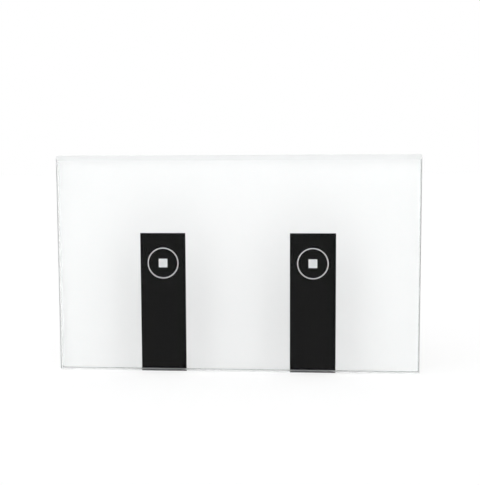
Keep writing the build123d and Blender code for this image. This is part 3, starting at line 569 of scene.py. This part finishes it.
def build_glass():
    """The glass panel: polished faces, ground edges, its back in contact with the print."""
    mesh, shape = merged_copy("glass_panel")
    # The sides are ground so finely that they are almost clear. The chamfers are ground and painted grey:
    # painted shade that draws a dark line round the print. The bevel along the top and the edge along the
    # bottom are painted pale: on the top bevel this is painted light from above.
    for material in (toughened_glass(),
                     ground_glass("ground_edge", "#F3F8F6", transmission=0.9, roughness=0.12),
                     ground_glass("ground_chamfer_painted_shade", "#989A9A", transmission=0.6),
                     ground_glass("ground_bevel_painted_light", "#EEEFEF", transmission=0.7)):
        mesh.materials.append(material)
    bmesh.ops.dissolve_limit(shape, angle_limit=flat_angle, verts=shape.verts, edges=shape.edges)
    for vertex in shape.verts:
        if abs(vertex.co.y - glass_high.y) < ink_contact:
            vertex.co.y = print_low.y + ink_contact
    for face in shape.faces:
        face.material_index = glass_finish(face.normal)
    shape.to_mesh(mesh)
    shape.free()
    add_piece("glass", mesh, "front_panel", "clear_glass", "glass_panel")


def draw_joint(tree, sizes):
    """Draws a hollow-sided cone of solder round the clipped end of a lead, standing on Z = 0."""
    cone = add_node(tree, "GeometryNodeMeshCone", {
        "Vertices": solder_sides, "Side Segments": solder_steps,
        "Radius Top": sizes["Lead radius"], "Radius Bottom": sizes["Foot radius"], "Depth": sizes["Height"]})
    place = add_node(tree, "GeometryNodeInputPosition").outputs[0]
    rise = add_node(tree, "ShaderNodeSeparateXYZ", {0: place}).outputs["Z"]
    share = add_node(tree, "ShaderNodeMath", {0: rise, 1: sizes["Height"]}, operation="DIVIDE").outputs[0]
    rest = add_node(tree, "ShaderNodeMath", {0: 1.0, 1: share}, operation="SUBTRACT").outputs[0]
    belly = add_node(tree, "ShaderNodeMath", {0: share, 1: rest}, operation="MULTIPLY").outputs[0]
    pull = add_node(tree, "ShaderNodeMath", {0: belly, 1: sizes["Hollow"]}, operation="MULTIPLY").outputs[0]
    inward = add_node(tree, "ShaderNodeVectorMath", {0: place, 1: (-1, -1, 0)}, operation="MULTIPLY")
    offset = add_node(tree, "ShaderNodeVectorMath", {0: inward.outputs[0], "Scale": pull}, operation="SCALE")
    solder = add_node(tree, "GeometryNodeSetPosition", {
        "Geometry": cone.outputs["Mesh"], "Offset": offset.outputs[0]})
    smooth = add_node(tree, "GeometryNodeSetShadeSmooth", {
        "Geometry": solder.outputs[0], "Selection": cone.outputs["Side"]})
    lead = add_node(tree, "GeometryNodeMeshCylinder", {
        "Vertices": lead_sides, "Radius": sizes["Lead radius"], "Depth": sizes["Lead length"]})
    joint = add_node(tree, "GeometryNodeJoinGeometry", {0: smooth.outputs[0]})
    tree.links.new(lead.outputs["Mesh"], joint.inputs[0])
    return joint.outputs[0]


def repeat_at(name, places, turn, sizes, draw, material):
    """Repeats a drawn shape at every place, a little larger or smaller each time, as one plain mesh."""
    tree = bpy.data.node_groups.new(name, "GeometryNodeTree")
    tree.interface.new_socket("Geometry", in_out="OUTPUT", socket_type="NodeSocketGeometry")
    tree.interface.new_socket("Geometry", in_out="INPUT", socket_type="NodeSocketGeometry")
    sockets = {label: tree.interface.new_socket(
        label, in_out="INPUT", socket_type="NodeSocketInt" if label == "Seed" else "NodeSocketFloat")
        for label in sizes}
    given = add_node(tree, "NodeGroupInput").outputs
    shape = draw(tree, given)
    # The bounds of a plain random number are this node's inputs 2 and 3, and the number is its output 1.
    scale = add_node(tree, "FunctionNodeRandomValue", {
        2: given["Least"], 3: given["Most"], "Seed": given["Seed"]})
    repeated = add_node(tree, "GeometryNodeInstanceOnPoints", {
        "Points": given["Geometry"], "Instance": shape, "Rotation": turn, "Scale": scale.outputs[1]})
    realised = add_node(tree, "GeometryNodeRealizeInstances", {"Geometry": repeated.outputs[0]})
    finished = add_node(tree, "GeometryNodeSetMaterial", {
        "Geometry": realised.outputs[0], "Material": material})
    add_node(tree, "NodeGroupOutput", {"Geometry": finished.outputs[0]})
    points = bpy.data.meshes.new(f"{name}_places")
    points.from_pydata(places, [], [])
    source = bpy.data.objects.new(f"{name}_source", points)
    bpy.context.scene.collection.objects.link(source)
    modifier = source.modifiers.new(name, "NODES")
    modifier.node_group = tree
    for label, socket in sockets.items():
        modifier[socket.identifier] = sizes[label]
    mesh = bpy.data.meshes.new_from_object(source.evaluated_get(bpy.context.evaluated_depsgraph_get()))
    source.modifiers.clear()
    bpy.data.objects.remove(source)
    return mesh


def build_solder():
    """The solder joints of both boards, each round the end of a lead on the board's front."""
    # Lead-free solder: a tin alloy, bright where it froze smooth, drawn up the lead by wetting.
    material = plated_metal("solder", "#B9BBBC", "#CFD1D2", low=0.18, high=0.32)
    places = [(x * MM, power_low.y, z * MM) for x, z in power_leads]
    places += [(x * MM, touch_low.y, z * MM) for x, z in header_leads]
    sizes = {"Foot radius": 0.75 * MM, "Lead radius": 0.3 * MM, "Height": 0.5 * MM, "Lead length": 1.3 * MM,
             "Hollow": 1.4, "Least": 0.9, "Most": 1.05, "Seed": 3}
    mesh = repeat_at("solder_joints", places, to_front, sizes, draw_joint, material)
    add_piece("solder_joints", mesh, "base", "tinned_copper")


def build_table():
    """The white table that the switch stands on."""
    height = glass_low.z - table_gap
    mesh = bpy.data.meshes.new("table")
    corners = [(-table_half, -table_half, height), (table_half, -table_half, height),
               (table_half, table_half, height), (-table_half, table_half, height)]
    mesh.from_pydata(corners, [], [(0, 1, 2, 3)])
    # White card, matt and almost without grain. Metal and glass show it plain white, as they do the studio.
    material, tree, shader, place = new_finish("white_card", "#FEFEFE", roughness=0.9, Specular_IOR_Level=0.0)
    shade_between(tree, shader, pattern(tree, place, cloud, size=0.8), "#FCFCFC", "#FEFEFE")
    plain = add_node(tree, "ShaderNodeEmission", {"Color": linear("#FFFFFF"), "Strength": white})
    camera_ray = add_node(tree, "ShaderNodeLightPath").outputs["Is Camera Ray"]
    lift = add_node(tree, "ShaderNodeMath", {0: camera_ray, 1: table_lift}, operation="MULTIPLY").outputs[0]
    share = add_node(tree, "ShaderNodeMath", {0: plainly_seen(tree), 1: lift}, operation="MAXIMUM").outputs[0]
    mix = add_node(tree, "ShaderNodeMixShader", {0: share, 1: shader.outputs[0], 2: plain.outputs[0]})
    tree.links.new(mix.outputs[0], tree.get_output_node("ALL").inputs["Surface"])
    mesh.materials.append(material)
    table = bpy.data.objects.new("table", mesh)
    bpy.context.scene.collection.objects.link(table)


def light_scene():
    """A white studio: even fill from all round, and a large soft box above the front left. The camera,
    a reflection and clear glass show it plain white, or the soft box where that is brighter."""
    world = bpy.data.worlds.new("white_studio")
    world.use_nodes = True
    tree = world.node_tree
    tree.nodes.clear()
    direction = add_node(tree, "ShaderNodeTexCoord").outputs["Generated"]
    facing = add_node(tree, "ShaderNodeVectorMath", {
        0: direction, 1: soft_box_direction}, operation="DOT_PRODUCT")
    lit = add_node(tree, "ShaderNodeMapRange", {
        "Value": facing.outputs["Value"], "From Min": soft_box_edge, "From Max": soft_box_core,
        "To Min": fill_light, "To Max": fill_light + soft_box_light}, interpolation_type="SMOOTHSTEP")
    camera_ray = add_node(tree, "ShaderNodeLightPath").outputs["Is Camera Ray"]
    seen = add_node(tree, "ShaderNodeMath", {0: camera_ray, 1: plainly_seen(tree)}, operation="MAXIMUM")
    strength = add_node(tree, "ShaderNodeMath", {0: seen.outputs[0], 1: lit.outputs[0]}, operation="MAXIMUM")
    studio = add_node(tree, "ShaderNodeBackground", {
        "Color": linear("#FFFFFF"), "Strength": strength.outputs[0]})
    add_node(tree, "ShaderNodeOutputWorld", {"Surface": studio.outputs[0]})
    bpy.context.scene.world = world


def place_camera():
    """Stands the camera where the photograph was taken, for a frame of 480 by 485 pixels."""
    back = Vector((math.sin(camera_azimuth) * math.cos(camera_elevation),
                   -math.cos(camera_azimuth) * math.cos(camera_elevation),
                   math.sin(camera_elevation)))
    right = Matrix.Rotation(camera_roll, 3, back) @ Vector((0, 0, 1)).cross(back).normalized()
    up = back.cross(right)
    data = bpy.data.cameras.new("camera")
    data.sensor_width = camera_sensor
    data.lens = camera_lens
    data.clip_start = camera_near
    camera = bpy.data.objects.new("camera", data)
    stand = Matrix.Translation(camera_aim + back * camera_distance)
    camera.matrix_world = stand @ Matrix((right, up, back)).transposed().to_4x4()
    bpy.context.scene.collection.objects.link(camera)
    bpy.context.scene.camera = camera


def set_light_paths():
    """Lets light pass many times between the print and the glass, as it does in a real glass panel."""
    cycles = bpy.context.scene.cycles
    cycles.max_bounces = all_passes
    cycles.diffuse_bounces = passes
    cycles.glossy_bounces = passes
    cycles.transmission_bounces = passes
    cycles.blur_glossy = 0.0


bpy.context.scene.view_settings.view_transform = "Standard"
set_light_paths()
finishes = slot_finishes()
finish_cad_nodes(finishes)
build_print(finishes["white_ink"])
build_glass()
build_solder()
build_table()
light_scene()
place_camera()
